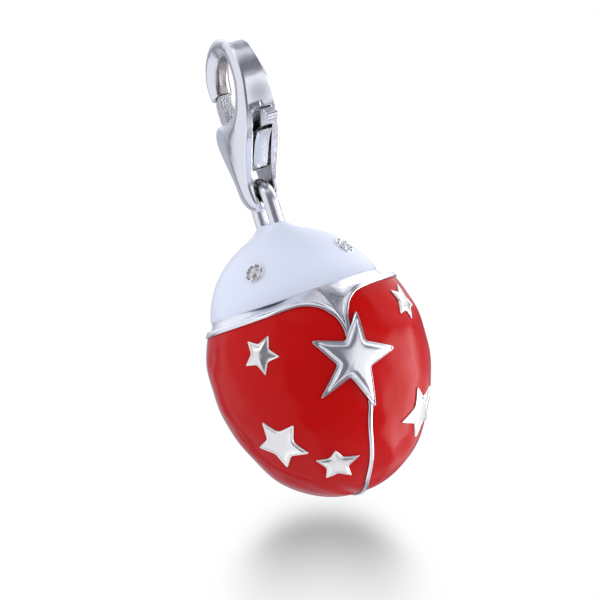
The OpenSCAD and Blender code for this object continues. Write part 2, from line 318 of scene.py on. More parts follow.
# Shared effect: the slow waves and small pits of a fused or polished surface, as a height and a mask
number, vector = "NodeSocketFloat", "NodeSocketVector"
flow_inputs = {"Vector": vector, "Wave Size": number, "Pit Size": number, "Pit Share": number}
surface_flow, given, taken = new_effect("surface_flow", flow_inputs, ("Height", "Mask"))
waves = noise(surface_flow, given["Vector"], calc(surface_flow, "DIVIDE", 1 / MM, given["Wave Size"]), 1.0)
pits = noise(surface_flow, given["Vector"], calc(surface_flow, "DIVIDE", 1 / MM, given["Pit Size"]), 3.0)
flow_height = calc(surface_flow, "ADD", waves, calc(surface_flow, "MULTIPLY", pits, given["Pit Share"]))
surface_flow.links.new(flow_height, taken["Height"])
surface_flow.links.new(pits, taken["Mask"])


def flow(tree, place, wave, pit, share):
    """Places the shared surface effect in a material, its sizes in millimetres, and gives its outputs."""
    sizes = {"Vector": place, "Wave Size": wave, "Pit Size": pit, "Pit Share": share}
    cloud = add_node(tree, "ShaderNodeGroup", sizes, node_tree=surface_flow).outputs
    return cloud["Height"], cloud["Mask"]


def spread(tree, value, low, high):
    """Maps a 0.3 to 0.7 noise value to a range."""
    return between(tree, value, 0.3, 0.7, low, high)


def raised(tree, height, distance):
    """A normal from a height, whose full range stands for a distance in millimetres."""
    inputs = {"Height": height, "Distance": distance * MM, "Strength": 1.0}
    return add_node(tree, "ShaderNodeBump", inputs).outputs[0]


def mixed(tree, share, first, second):
    """Mixes two colours, each three numbers or a socket, by a share."""
    tones = [tone if isinstance(tone, bpy.types.NodeSocket) else (*tone, 1) for tone in (first, second)]
    return add_node(tree, "ShaderNodeMix", {0: share, 6: tones[0], 7: tones[1]}, data_type="RGBA").outputs[2]


white_enamel, tree, place = start_finish("white_enamel")
height, mask = flow(tree, place, 4.0, 0.5, 0.1)
tone = mixed(tree, height, (0.68, 0.73, 0.88), (0.715, 0.76, 0.915))
end_finish(tree, Base_Color=tone, Roughness=spread(tree, mask, 0.16, 0.24), IOR=1.3,
           Normal=raised(tree, height, 0.08))


def enamel_neck(points):
    """Draws the enamel up the bail's legs. At distance d outside the legs and the line between them it rises
    towards neck_top by exp(-(d / 0.58)^0.9)."""
    along = np.clip(points[..., 1], drop_y - leg_out, drop_y + leg_out)
    distance = np.maximum(np.hypot(points[..., 0], points[..., 1] - along) - wire_r, 0)
    lift = np.exp(-(distance / 0.58) ** 0.9)
    drawn = points.copy()
    drawn[..., 2] += np.maximum(neck_top - points[..., 2], 0) * lift
    return drawn


# Rows of the enamel run from the top to its edge, round the lip, and back up its inner side
turns = np.linspace(-180, 180, 240, endpoint=False)
outer_share = np.linspace(0, 1, 110)[:, None]
lip_share = np.linspace(0, math.pi / 2, 7)[1:, None]
inner_share = np.linspace(1, 0, 14)[:, None]
edge_tilt = np.arccos((white_edge(turns) - head_z) / head_r)
full = lip_full(turns)
tilts = np.concatenate([edge_tilt * outer_share ** 0.9,
                        edge_tilt + lip_r * np.sin(lip_share) / head_r,
                        (edge_tilt + lip_r / head_r) * inner_share])
radii = np.concatenate([head_r + full * outer_share ** 4,
                        head_r + full - lip_r * (1 - np.cos(lip_share)),
                        np.full((len(inner_share), len(turns)), head_r - enamel_t)])
dome = round_axis(drop_y, turns, radii * np.sin(tilts), head_z + radii * np.cos(tilts))
outside = slice(0, len(outer_share))
dome[outside] = enamel_neck(dome[outside])
head = skin("white_head", dome)
settle(head, "egg", "white_enamel", white_enamel, "enamel_head")

# The red enamel wings. Red enamel fills the two recesses of the wing body, level with the silver, and
# is ground and fired until it shines. Its surface keeps the slow waves of hand filling.

# The wing body is turned about wing_y. Its section has three arcs: two with their middles beyond the axis,
# given as the middle's distance from the axis and the radius, and one about a middle on the axis.
wing_y = drop_y - 1.2
shoulder_up = 4.1
side_up = (-1.02, 8.18)
side_low = (-3.90, 11.06)
bottom_r = 6.2
bottom_down = 2.9
arcs_meet = math.asin(bottom_down / math.hypot(side_low[0], bottom_down))
wing_t = 0.4


def wing_section():
    """The wing body's section from the shoulder to the lowest point: length along it, radius, level and
    outward direction. Each part is an arc: middle + radius * (cos a, sin a)."""
    parts = [(side_up[0], 0, side_up[1], np.linspace(math.asin(shoulder_up / side_up[1]), 0, 200)),
             (side_low[0], 0, side_low[1], np.linspace(0, -arcs_meet, 300)[1:]),
             (0, -bottom_down, bottom_r, np.linspace(-arcs_meet, -math.pi / 2, 300)[1:])]
    radius = np.concatenate([x + r * np.cos(a) for x, z, r, a in parts])
    level = np.concatenate([z + r * np.sin(a) for x, z, r, a in parts])
    out = np.concatenate([np.cos(a) for x, z, r, a in parts])
    up = np.concatenate([np.sin(a) for x, z, r, a in parts])
    length = np.concatenate([[0], np.cumsum(np.hypot(np.diff(radius), np.diff(level)))])
    return length, radius, level, out, up


run, run_radius, run_level, run_out, run_up = wing_section()
run_end = run[-1]


def run_at(z):
    """Distance along the wing body's section at a height."""
    return np.interp(-(np.asarray(z, float) - wide_z), -run_level, run)


def height_at(along):
    """Height at a distance along the wing body's section."""
    return wide_z + np.interp(along, run, run_level)


merge_wide = 0.8
merge_low = -2


def on_wing(turn, along, proud=0.0):
    """A point of the wing body at a turn from the front and a distance along its section, moved outwards by
    proud. Behind, its radius runs softly into the head dome's, sqrt(head_r^2 - h^2), to a smooth back."""
    along = np.asarray(along, float)
    radius, level = np.interp(along, run, run_radius), np.interp(along, run, run_level)
    out, up = np.interp(along, run, run_out), np.interp(along, run, run_up)
    back = np.pi - np.abs(np.radians(turn))
    ring = np.sqrt(np.maximum(head_r ** 2 - (level + wide_z - head_z) ** 2, 0))
    shift = drop_y - wing_y
    head_reach = shift * np.cos(back) + np.sqrt(np.maximum(ring ** 2 - (shift * np.sin(back)) ** 2, 0))
    over = np.clip(0.5 + (head_reach - radius) / merge_wide, 0, 1)
    merged = radius * (1 - over) + head_reach * over + merge_wide / 2 * over * (1 - over)
    radius = np.where(level > merge_low, merged, radius)
    return round_axis(wing_y, turn, radius + proud * out, wide_z + level + proud * up)


# The front seam: turn from the front and height, from the bottom up
front_seam = np.array([
    [0, -29.5], [-4.8, -29.0], [-4.4, -28.5], [-2.3, -27.7], [-1.8, -26.8], [-1.8, -25.8], [-0.9, -24.9],
    [0.4, -24.4], [1.0, -23.7], [-1.1, -22.8], [-2.3, -22.0], [-3.2, -20.1], [-2.0, -19.5], [-1.3, -18.9],
    [-1.8, -18.0]])
# The rim of each wing: turn from the front and height, from the back to the seam
left_rim = np.array([
    [-180, -16.85], [-120, -16.9], [-99, -16.87], [-77, -16.80], [-57, -16.76], [-42, -16.70], [-30, -16.63],
    [-22.5, -16.63], [-14.7, -16.86], [-8.6, -17.3], [-5.0, -17.87], [-3.4, -18.35], [-2.4, -18.9],
    [-2.5, -19.5], [-3.4, -20.1]])
right_rim = np.array([
    [180, -16.85], [120, -16.7], [63, -16.55], [42, -16.5], [28, -16.5], [15, -16.62], [10, -16.8],
    [4.6, -17.2], [1.2, -17.8], [-0.3, -18.35], [-0.9, -18.9], [-1.9, -19.5], [-3.1, -20.1]])
rim_foot = -20.1
degree_long = 0.11
sideways_low = -18.85


def even(points, count):
    """Points evenly spaced by length along a line of points, after three rounds of corner cutting."""
    for _ in range(3):
        cut = np.empty((2 * len(points) - 2, points.shape[1]))
        cut[0::2] = 0.75 * points[:-1] + 0.25 * points[1:]
        cut[1::2] = 0.25 * points[:-1] + 0.75 * points[1:]
        points = np.concatenate([points[:1], cut, points[-1:]])
    length = np.concatenate([[0], np.cumsum(np.linalg.norm(np.diff(points, axis=0), axis=1))])
    at = np.linspace(0, length[-1], count)
    return np.stack([np.interp(at, length, points[:, k]) for k in range(points.shape[1])], axis=1)


def rim_line(rim, count):
    """Turns and heights evenly spaced along a rim or seam. A degree is degree_long on the surface."""
    scale = np.array([degree_long, 1])
    return even(rim * scale, count) / scale


left_fine, right_fine, seam_fine = [rim_line(line, 400) for line in (left_rim, right_rim, front_seam)]


def rim_height(turn, side):
    """Height of a wing's rim at a turn, where the rim still runs sideways."""
    fine = left_fine if side < 0 else right_fine[::-1]
    rim = fine[fine[:, 1] > sideways_low]
    return np.interp(turn, rim[:, 0], rim[:, 1])


def enamel_wave(turn, z):
    """Slow waves of the hand-filled enamel, a sum of sines a few hundredths of a millimetre high."""
    t = np.radians(turn) * 7
    return (0.020 * np.sin(1.25 * t + 0.7 * z) + 0.018 * np.sin(0.55 * t - 1.45 * z + 1.3)
            + 0.014 * np.sin(1.9 * t + 1.1 * z + 2.1) + 0.015 * np.sin(2.3 * z + 0.9 * t + 0.4))


# Each point's share of a star's radius and its swing in degrees, clockwise from the upper point
plain_tips = ((1, 0), (1, 0), (1, 0), (1, 0), (1, 0))
bottom_tips = ((0.82, 0), (1.1, 2), (1, 0), (1, 0), (1, 0))
upper_tips = ((1.1, -4), (0.88, 8), (0.95, 8), (1.05, -8), (1, 0))
lower_tips = ((1, 5), (1.15, 5), (1, 0), (0.96, -9), (1.15, -3))
# The small stars: turn from the front, height, turn of a point from upright, radius, height of the dome,
# how much the face bows across, and the points
small_stars = [
    ("star_upper_left", -50.3, -19.05, 36.8, 1.40, 0.24, 0.14, plain_tips),
    ("star_lower_left", -60.1, -24.96, -13.1, 1.95, 0.05, 0.0, plain_tips),
    ("star_bottom", -30.4, -27.22, 13.5, 1.45, 0.07, 0.0, bottom_tips),
    ("star_upper_right", 45.2, -18.42, 31.6, 1.33, 0.03, 0.0, upper_tips),
    ("star_lower_right", 44.2, -25.50, -30.0, 1.91, 0.03, 0.0, lower_tips),
]
under_star = 0.3
under_silver = 0.03


def round_stars(points):
    """The enamel about the small stars: 1 where its waves run free and 0 at a star, and how far it is let
    down under the middle of a star, so that the silver comes through it."""
    free, down = np.ones(points.shape[:-1]), np.zeros(points.shape[:-1])
    for _, star_turn, star_z, _, radius, *_ in small_stars:
        away = np.linalg.norm(points - on_wing(star_turn, run_at(star_z)), axis=-1) / radius
        free = np.minimum(free, np.clip((away - 0.9) / 0.4, 0, 1))
        down = np.maximum(down, under_star * np.clip((0.5 - away) / 0.08, 0, 1))
    return free, down


def wing(side):
    """One wing's enamel: rows run from the rim down to the lowest point, columns from the seam to the back.
    Its waves fade out towards the rim, the lowest point and the seam."""
    share = np.linspace(0, 1, 170) ** 1.35
    turn_from = side * 180 * share
    seam_near = 180 * share < 1.2
    top = run_at(np.where(seam_near, rim_foot, rim_height(-2 * (1 - share) + turn_from, side)))
    rows = np.linspace(0, 1, 150)[:, None]
    along = top[None, :] + rows * (run_end - top[None, :])
    z = height_at(along)
    turn = np.interp(z, seam_fine[:, 1], seam_fine[:, 0]) * (1 - share) + turn_from
    edge = np.clip(np.minimum(np.minimum(rows * 8, (1 - rows) * 10), share * 60), 0, 1)
    free, down = round_stars(on_wing(turn, along))
    grid = on_wing(turn, along, enamel_wave(turn, z) * edge * free - under_silver - down)
    return grid[:, ::side]


red_enamel, tree, place = start_finish("red_enamel")
height, mask = flow(tree, place, 2.3, 0.35, 0.04)
tone = mixed(tree, height, (0.46, 0.002, 0.002), (0.50, 0.003, 0.003))
end_finish(tree, Base_Color=tone, Roughness=spread(tree, mask, 0.12, 0.18), IOR=1.25,
           Normal=raised(tree, height, 0.16))

for side, name in ((-1, "left"), (1, "right")):
    enamel = skin("red_wing_" + name, wing(side), wrap=False)
    thick = enamel.modifiers.new("enamel", "SOLIDIFY")
    thick.thickness = wing_t * MM
    thick.offset = -1
    settle(enamel, "egg", "red_enamel", red_enamel, "enamel_wing_" + name)

# The silver collar. It is cast with the egg: a cove runs round below the white enamel and widens at the
# front into a smooth hollow that comes to a point where the two wings meet.

# Shared effect: how open a spot lies, from 0 deep in a hollow to 1 on a free surface, for painted shade
recess, given, taken = new_effect("recess", {"Reach": number, "Clear": number}, ("Open",))
near = add_node(recess, "ShaderNodeAmbientOcclusion", {"Distance": given["Reach"]}, samples=8).outputs["AO"]
recess.links.new(between(recess, near, 0.15, given["Clear"]), taken["Open"])


def silver_finish(name, wave, pit, rough, bump, reach=0.6, clear_at=0.7, shade_and_tarnish_tone=(0.16, 0.12, 0.11),
                  tones=((0.90, 0.90, 0.93), (0.96, 0.96, 0.98))):
    """Polished silver: slow waves of hand polishing, uneven shine, and painted shade with some tarnish in
    crevices.
    """
    material, tree, place = start_finish(name)
    height, mask = flow(tree, place, wave, pit, 0.04)
    crevice_shade = add_node(tree, "ShaderNodeGroup", {"Reach": reach * MM, "Clear": clear_at}, node_tree=recess)
    # Painted shade: the colour falls towards the shade tone where a spot lies less open
    tone = mixed(tree, crevice_shade.outputs["Open"], shade_and_tarnish_tone, mixed(tree, mask, *tones))
    end_finish(tree, Base_Color=tone, Metallic=1.0, Roughness=spread(tree, mask, *rough),
               Normal=raised(tree, height, bump))
    return material


def paint_shade_into(material, where, tone):
    """Paints shade: mixes a darker tone into a silver's colour by a mask."""
    tree = material.node_tree
    colour = tree.nodes["Principled BSDF"].inputs["Base Color"]
    tree.links.new(mixed(tree, where, colour.links[0].from_socket, tone), colour)


def soft_round_mask(tree, middle, full, none):
    """A soft round mask: 1 up to one distance from a point and 0 past another, in millimetres."""
    place = add_node(tree, "ShaderNodeTexCoord").outputs["Object"]
    away = vector_calc(tree, "DISTANCE", place, [MM * part for part in middle])
    return between(tree, away, none * MM, full * MM, soft=True)


silver = silver_finish("polished_silver", 1.1, 0.12, (0.10, 0.18), 0.03)
# Painted shade darkens the collar's cove over a wide reach.
hollow_silver = silver_finish("hollow_silver", 0.9, 0.15, (0.18, 0.28), 0.02, 2.2, 1.0, (0.18, 0.18, 0.20))
# Painted shade: a soft grey patch darkens the front of the collar, above the point of the hollow.
paint_shade_into(hollow_silver, soft_round_mask(hollow_silver.node_tree, (-0.4, -5.6, -16.5), 0.8, 2.0), (0.46, 0.455, 0.48))

# The cove's foot lies on the wing body, a little under its skin on the right of the front. Its top lies
# behind the enamel's lip, deeper on the left of the front. Its middle hangs 0.42 of its width lower, or 0.55
# at most, and at the front it rises a little instead.
point_turn = -1.8
point_z = -18.4
under_lip = 0.12
cove_wall = 0.35
cove_inset = 0.025
pace = np.linspace(-1, 1, 361)[:-1]
collar_turn = point_turn + 180 * np.sign(pace) * np.abs(pace) ** 1.7
collar_turn[0] = -180
rim_z = np.where(collar_turn < point_turn, rim_height(collar_turn, -1), rim_height(collar_turn, 1))
foot_proud = 0.02 - 0.14 * np.clip((collar_turn - 6) / 14, 0, 1) * np.clip((120 - collar_turn) / 40, 0, 1)
cove_foot = on_wing(collar_turn, run_at(np.maximum(rim_z, point_z)), foot_proud)
top_z = white_edge(collar_turn) + under_lip
undercut = 0.08 + 0.45 * np.exp(-((collar_turn + 38) / 15) ** 2) - lip_full(collar_turn)
cove_top = round_axis(drop_y, collar_turn, np.sqrt((head_r - undercut) ** 2 - (top_z - head_z) ** 2), top_z)
cove_wide = np.linalg.norm(cove_foot - cove_top, axis=-1)
cove_mid = (cove_foot + cove_top) / 2
cove_mid[:, 2] -= np.minimum(0.42 * cove_wide, 0.55) * (1 - 1.3 * np.exp(-((collar_turn + 7) / 13) ** 4))
step = np.linspace(0, 1, 26)[:, None, None]
cove = (1 - step) ** 2 * cove_top + 2 * step * (1 - step) * cove_mid + step ** 2 * cove_foot
# The cove is smoothed: each round moves a point most of the way to the mean of its four neighbours
for _ in range(120):
    around = np.roll(cove, 1, axis=1)[1:-1] + np.roll(cove, -1, axis=1)[1:-1] + cove[:-2] + cove[2:]
    cove[1:-1] = 0.3 * cove[1:-1] + 0.7 * around / 4
from_axis = (cove - np.array([0, drop_y, 0])) * np.array([1, 1, 0])
inner = cove - cove_wall * upright - cove_inset * from_axis
collar = skin("collar", np.concatenate([cove, inner[::-1], cove[:1]]))
settle(collar, "egg", "silver_egg", hollow_silver, "egg_casting")

# The rims and the seam. A raised silver rim edges each wing, and the two rims come together below the
# collar and run on as the seam between the wings, down the front, under the egg and up the back.
ring = np.linspace(0, 2 * math.pi, 20, endpoint=False)


def carried(name, path, outward, profile):
    """A closed profile, or one for each point, carried along a path: path + x * side + y * outward, where
    side is direction x outward. At both ends the profile shrinks to a point, which closes the piece."""
    direction = np.gradient(path, axis=0)
    direction /= np.linalg.norm(direction, axis=1, keepdims=True)
    outward = outward - np.sum(outward * direction, axis=1, keepdims=True) * direction
    outward /= np.linalg.norm(outward, axis=1, keepdims=True)
    side = np.cross(direction, outward)
    grid = path[:, None] + profile[..., 0:1] * side[:, None] + profile[..., 1:2] * outward[:, None]
    ends = grid[[0, -1]].mean(axis=1, keepdims=True).repeat(grid.shape[1], axis=1)
    return skin(name, np.concatenate([ends[:1], grid, ends[1:]]))


def wing_path(turn, along):
    """A path on the wing body and the outward directions along it."""
    path = on_wing(turn, along)
    return path, on_wing(turn, along, 1.0) - path


def rim_profile(wide, high, lean):
    """Cross-sections of a rim: ellipses half wide and high, whose crests lean towards the collar."""
    x = np.cos(ring) + 0.55 * lean * np.maximum(np.sin(ring), 0)
    y = np.sin(ring) + 0.25
    return np.stack([wide[:, None] * x, high[:, None] * y], axis=-1)


# A rim narrows where it turns down to the point, and is lower at the sides than at the front
for side, rim, name in ((-1, left_rim, "left"), (1, right_rim, "right")):
    fine = rim_line(rim, 260)
    path, outward = wing_path(fine[:, 0], run_at(fine[:, 1]))
    wide = 0.19 - 0.055 * np.clip((path[:, 2] + 17.6) / -0.7, 0, 1)
    aside = np.degrees(np.arctan2(np.abs(path[:, 0]), wing_y - path[:, 1]))
    high = 0.12 - 0.05 * np.clip((aside - 30) / 40, 0, 1)
    rim_piece = carried("rim_" + name, path, outward, rim_profile(wide, high, -side))
    settle(rim_piece, "egg", "silver_egg", silver)

seam_half = 0.15
seam_high = 0.10
front_run = np.linspace(run_at(-21.6), run_end - 0.05, 200)
back_run = np.linspace(run_end - 0.05, run_at(-16.9), 200)
front_turn = np.interp(height_at(front_run), seam_fine[:, 1], seam_fine[:, 0])
seam_turn = np.concatenate([front_turn, np.full(len(back_run), 180.0)])
seam_path, seam_out = wing_path(seam_turn, np.concatenate([front_run, back_run]))
seam_profile = np.stack([seam_half * np.cos(ring), seam_high * np.sin(ring) + 0.01], axis=-1)
seam = carried("seam", seam_path, seam_out, seam_profile)
settle(seam, "egg", "silver_egg", silver)

# The small stars. They are raised on the casting and ground level with the enamel, so each shows as a
# flat satin silver star with a thin bright edge and slightly uneven points. The one at the upper left is
# domed.
star_foot = 0.25


def star_line(radius, waist, tips, dents=plain_tips, per_edge=18, tip_round=0.1, dent_round=0.12):
    """Outline of a five-pointed star, clockwise from the upper point, its points and inner corners rounded by
    quadratic curves. Each has its share of its radius and its swing in degrees."""
    corner = np.arange(10)
    share, swing = np.stack([tips, dents], axis=1).reshape(10, 2).T
    reach = radius * share * np.where(corner % 2 == 0, 1, waist)
    angle = np.radians(36 * corner + swing)
    points = np.stack([reach * np.sin(angle), reach * np.cos(angle)], axis=-1)
    before, after = np.roll(points, 1, axis=0), np.roll(points, -1, axis=0)
    cut = radius * np.where(corner % 2 == 0, tip_round, dent_round)[:, None]
    back = points + cut * (before - points) / np.linalg.norm(before - points, axis=1, keepdims=True)
    ahead = points + cut * (after - points) / np.linalg.norm(after - points, axis=1, keepdims=True)
    t = np.linspace(0, 1, 7)[None, :, None]
    bend = (1 - t) ** 2 * back[:, None] + 2 * t * (1 - t) * points[:, None] + t ** 2 * ahead[:, None]
    u = np.linspace(0, 1, per_edge + 1)[None, 1:-1, None]
    straight = ahead[:, None] + u * (np.roll(back, -1, axis=0) - ahead)[:, None]
    return np.concatenate([bend, straight], axis=1).reshape(-1, 2)


def drape(flat, centre, outward, right, up):
    """Moves flat points along the outward direction onto the wing body, and gives the body's normal there."""
    start = centre + flat[..., :1] * right + flat[..., 1:2] * up
    shift = np.zeros(flat.shape[:-1])
    for _ in range(14):
        point = start + shift[..., None] * outward
        along = run_at(point[..., 2])
        gap = np.hypot(point[..., 0], point[..., 1] - wing_y) - np.interp(along, run, run_radius)
        shift -= 0.85 * gap
    turn = np.degrees(np.arctan2(point[..., 0], wing_y - point[..., 1]))
    return point, wing_path(turn, along)[1]


def from_outline(flat, outline):
    """Distance of flat points from the nearest straight piece of a closed outline."""
    least = np.full(flat.shape[:-1], np.inf)
    for first, piece in zip(outline, np.roll(outline, -1, axis=0) - outline):
        share = np.clip((flat - first) @ piece / (piece @ piece), 0, 1)
        least = np.minimum(least, np.linalg.norm(flat - first - share[..., None] * piece, axis=-1))
    return least


def star(name, turn, z, roll, outline, face, soften=0):
    """A star draped on the wing body, face(d, x, y) above it: d from the edge, x and y from the middle.
    Softening smooths the face inside its eight outer rows. Below the edge are walls and an underside."""
    centre, outward = wing_path(turn, run_at(z))
    spin = math.radians(turn)
    right = np.array([math.cos(spin), math.sin(spin), 0])
    tip = math.radians(roll)
    turned = outline @ np.array([[math.cos(tip), -math.sin(tip)], [math.sin(tip), math.cos(tip)]])
    share = 1 - (1 - np.linspace(0, 1, 34)) ** 1.9
    flat = share[:, None, None] * turned[None]
    height = face(from_outline(flat, turned), flat[..., 0], flat[..., 1])
    for _ in range(soften):
        around = np.roll(height, 1, axis=1) + np.roll(height, -1, axis=1)
        height[1:-9] = 0.4 * height[1:-9] + 0.15 * (around[1:-9] + height[:-10] + height[2:-8])
    point, normal = drape(flat, centre, outward, right, np.cross(outward, right))
    top = point + height[..., None] * normal
    foot = point[-1:] - star_foot * normal[-1:]
    under = foot.mean(axis=1, keepdims=True) + np.zeros_like(foot)
    return skin(name, np.concatenate([top, foot, under]))


def flat_face(dome, bow):
    """Height of a small star at a distance d from its edge: a thin raised edge, a fine groove inside it, and
    a face that rises by 1 - exp(-(d / 0.33)^2) of the dome's height less bow * (x + 0.5)^2."""
    def height(d, x, y):
        edge = 0.075 * np.clip(d / 0.04, 0, 1) ** 0.5 - 0.035 * np.exp(-((d - 0.12) / 0.05) ** 2)
        return edge + (dome - bow * (x + 0.5) ** 2) * (1 - np.exp(-(d / 0.33) ** 2))
    return height


warm_tones = (0.94, 0.91, 0.87), (1.0, 0.985, 0.935)
satin_silver = silver_finish("satin_silver", 1.6, 0.20, (0.16, 0.28), 0.03, tones=warm_tones)
star_waist = 0.51
for name, star_turn, star_z, roll, radius, dome_high, bow, tips in small_stars:
    made = star(name, star_turn, star_z, roll, star_line(radius, star_waist, tips), flat_face(dome_high, bow))
    settle(made, "egg", "silver_egg", satin_silver)

# The large star. It stands out of the front of the casting across the seam, with a thin beaded edge, a
# fine groove inside it and a polished face that swells like a pillow.
crown_x, crown_y = -0.9, -0.8


def domed_face(d, x, y):
    """Height of the large star at a distance d from its edge: a bead of 0.27, a fine groove, and a pillow
    that rises by 1 - (1 - (d - 0.13) / 0.45)^2 of 0.10 + 0.22 exp(-(r / 2.2)^2), a low dome at the crown."""
    r = np.hypot(x - crown_x, y - crown_y)
    near = np.clip(d / 0.08, 0, 1)
    bead = 0.27 * np.sqrt(near * (2 - near)) - 0.10 * np.exp(-((d - 0.16) / 0.06) ** 2)
    rise = 1 - (1 - np.clip((d - 0.13) / 0.45, 0, 1)) ** 2
    return bead + rise * (0.10 + 0.22 * np.exp(-(r / 2.2) ** 2))


large_tips = ((1.02, 2), (0.97, -2), (1.08, 4), (1.02, -1), (0.94, 2))
large_dents = ((1.18, -7), (0.97, -4), (0.88, 6), (0.88, -2), (1.05, 8))
large_line = star_line(3.32, 0.385, large_tips, large_dents, per_edge=30, tip_round=0.175, dent_round=0.05)
large = star("star_large", -3.7, -21.08, 20.0, large_line, domed_face, soften=14)
# Painted shade: the large star's silver turns near black where it lies in hollows.
star_silver = silver_finish("star_silver", 1.4, 0.12, (0.18, 0.26), 0.04, 1.2, 1.0, (0.03, 0.03, 0.035))
settle(large, "egg", "silver_egg", star_silver)

# The eyes. Each is a round clear stone in a silver collet, held down by six small grains of silver
# that are pushed over its edge.
stone_r = 0.52
eye_aside = 45.7
eye_lift = 37.3
collet_proud = 0.03
grain_count = 6
grain_first = 20
grain_wide = 0.155
grain_high = 0.12
grain_out = 0.55
grain_up = 0.10
# The collet from the middle of its foot, over its rim and down to the middle of its cup: radius, height
cup = np.array([[0, -0.62], [0.58, -0.62], [0.64, -0.15], [0.67, -0.02], [0.665, 0.05], [0.64, 0.085],
                [0.60, 0.09], [0.56, 0.06], [0.53, 0.0], [0.50, -0.06], [0.36, -0.26], [0.18, -0.44],
                [0, -0.52]])
# The brilliant cut, from the table to the point: radius at even and at odd corners, height
cut_rings = [(0, 0, 0.17), (0.22, 0.20, 0.17), (0.31, 0.38, 0.11), (stone_r, stone_r, 0.015),
             (stone_r, stone_r, -0.015), (0.27, 0.25, -0.225), (0, 0, -0.43)]


def eye_frame(side):
    """The directions of an eye on the head dome: outwards, across and up the dome."""
    spin, lift = math.radians(side * eye_aside), math.radians(eye_lift)
    outward = np.array([math.sin(spin) * math.cos(lift), -math.cos(spin) * math.cos(lift), math.sin(lift)])
    across = np.array([math.cos(spin), math.sin(spin), 0])
    return outward, across, np.cross(outward, across)


def turned_piece(name, profile, base, outward, across, up, count=64):
    """A profile of radius and height turned about the outward direction from a base point."""
    angle = np.linspace(0, 2 * math.pi, count, endpoint=False)
    around = np.cos(angle)[:, None] * across + np.sin(angle)[:, None] * up
    return skin(name, base + profile[:, None, :1] * around[None] + profile[:, None, 1:] * outward)


clear, tree, place = start_finish("clear_stone")
height, mask = flow(tree, place, 0.5, 0.05, 0.2)
# Painted reflections: the stone's colour is broken into random cells from dark grey to white, standing in for
# the glints of its facets.
glint_cells = add_node(tree, "ShaderNodeTexVoronoi", {"Vector": place, "Scale": 6.5 / MM}).outputs["Color"]
painted_glint = add_node(tree, "ShaderNodeSeparateColor", {0: glint_cells}).outputs[0]
end_finish(tree, Base_Color=between(tree, painted_glint, 0.2, 0.55, 0.18, 1.0), Roughness=0.02, IOR=2.4,
           Transmission_Weight=0.4, Normal=raised(tree, mask, 0.001))

bright_silver, tree, place = start_finish("bright_seat")
height, mask = flow(tree, place, 0.3, 0.05, 0.3)
end_finish(tree, Base_Color=(0.95, 0.95, 0.97, 1), Metallic=1.0, Roughness=spread(tree, mask, 0.06, 0.12),
           Normal=raised(tree, height, 0.02))

half_turn = np.linspace(0, math.pi, 11)
grain_profile = np.stack([grain_wide * np.sin(half_turn), grain_high * np.cos(half_turn)], axis=-1)
corner = np.arange(16)
for side, name in ((-1, "left"), (1, "right")):
    outward, across, up = eye_frame(side)
    base = np.array([0, drop_y, head_z]) + (head_r + collet_proud) * outward
    collet = turned_piece("collet_" + name, cup, base, outward, across, up)
    settle(collet, "egg", "silver_egg", bright_silver)
    for count in range(grain_count):
        angle = math.radians(grain_first + 360 / grain_count * count)
        at = base + grain_out * (math.cos(angle) * across + math.sin(angle) * up) + grain_up * outward
        grain = turned_piece("grain_%s_%d" % (name, count), grain_profile, at, outward, across, up, 24)
        settle(grain, "egg", "silver_egg", bright_silver)
    angle = corner * math.pi / 8
    around = np.cos(angle)[:, None] * across + np.sin(angle)[:, None] * up
    rows = [base + np.where(corner % 2 == 0, even_r, odd_r)[:, None] * around + height * outward
            for even_r, odd_r, height in cut_rings]
    stone = skin("stone_" + name, np.stack(rows))
    stone.data.shade_flat()
    settle(stone, "egg", "clear_stone", clear, "eye_stone_" + name)

# The bail. A round silver wire is bent to a long loop and soldered into the top of the casting, where
# the enamel closes round its legs.
bail_z = -9.84
bail_wire = 0.5
bail_out = 1.24
leg_foot = -12.4
leg_low = np.linspace(leg_foot, bail_z, 24)[:-1]
half_turn = np.linspace(0, math.pi, 60)
leg_y = np.full_like(leg_low, bail_out)
bail_y = np.concatenate([leg_y, bail_out * np.cos(half_turn), -leg_y])
bail_high = np.concatenate([leg_low, bail_z + bail_out * np.sin(half_turn), leg_low[::-1]])
bail_path = np.stack([np.zeros_like(bail_y), drop_y + bail_y, bail_high], axis=-1)
wire_ring = np.linspace(0, 2 * math.pi, 36, endpoint=False)
wire = bail_wire * np.stack([np.cos(wire_ring), np.sin(wire_ring)], axis=-1)
bail = carried("bail", bail_path, np.array([[1.0, 0, 0]]), wire)
bail_silver = silver_finish("bail_silver", 1.6, 0.15, (0.20, 0.30), 0.05)
settle(bail, "egg", "silver_egg", bail_silver)

# The clasp. Its body is one silver casting: a round hook that runs into a broad belly, slit from spine
# to gate for the lever, with a bar across the bottom that the bail hangs on. It is tumbled and polished,
# so all its edges are slightly round.

